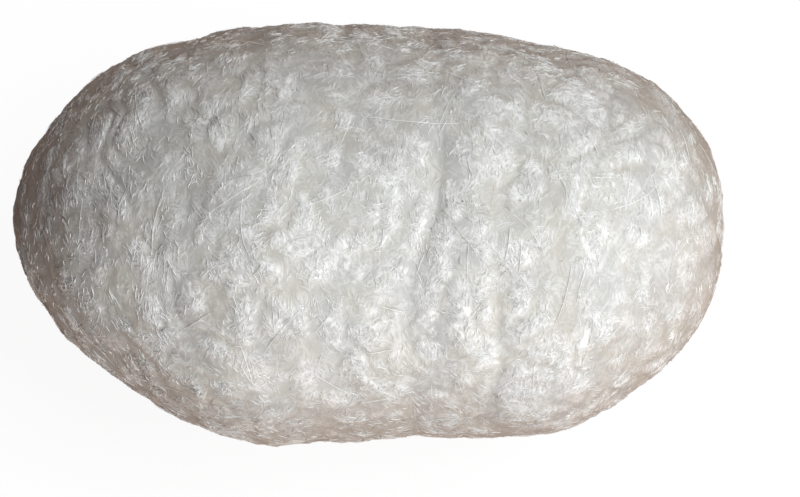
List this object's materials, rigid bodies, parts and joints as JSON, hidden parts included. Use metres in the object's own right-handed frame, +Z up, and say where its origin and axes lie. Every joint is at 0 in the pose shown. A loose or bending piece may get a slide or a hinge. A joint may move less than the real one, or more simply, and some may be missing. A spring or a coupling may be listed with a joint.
{
  "type": "silk cocoon",
  "caption": "Closed white silkworm cocoon lying on its side, a plump capsule with a faint waist, a crinkled wall and a coat of loose silk floss.",
  "frame": {"origin": "under the middle of the body, on the surface that it rests on", "axes": "+X along the long axis towards the blunt end, +Z up, -Y towards the side that shows in front"},
  "size_m": [0.035, 0.0206, 0.0203],
  "materials": {
    "silk": "satin"
  },
  "bodies": {
    "root": {"cocoon": "silk"}
  },
  "joints": []
}
